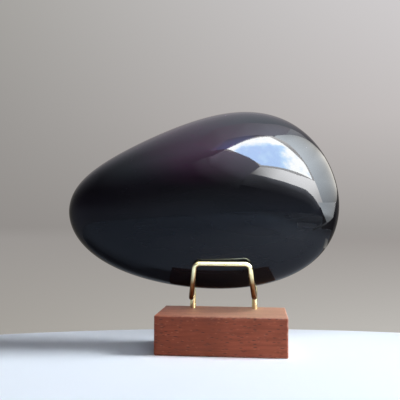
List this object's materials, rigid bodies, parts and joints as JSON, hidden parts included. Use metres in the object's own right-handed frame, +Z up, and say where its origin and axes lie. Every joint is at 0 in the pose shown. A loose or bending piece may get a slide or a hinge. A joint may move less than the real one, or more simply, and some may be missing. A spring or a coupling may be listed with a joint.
{
  "type": "polished obsidian on stand",
  "caption": "Polished egg-shaped obsidian lying across a small hardwood block, held between a front and a rear arch of bent brass wire.",
  "frame": {"origin": "centre of the block's underside, which is the flat face that the object stands on", "axes": "+X along the stone's length towards its bulky end, -Y towards the front, where the lower wire arch is, +Z up"},
  "size_m": [0.14, 0.0452, 0.1206],
  "materials": {
    "obsidian": "near-black volcanic glass, hand polished to a mirror gloss, with a faint purple glow",
    "wood": "reddish brown hardwood, fine straight grain along the length, sanded and lightly oiled",
    "brass": "bright drawn brass wire, polished"
  },
  "bodies": {
    "root": {"obsidian": "obsidian", "wood_block": "wood", "front_wire": "brass", "rear_wire": "brass"}
  },
  "joints": []
}
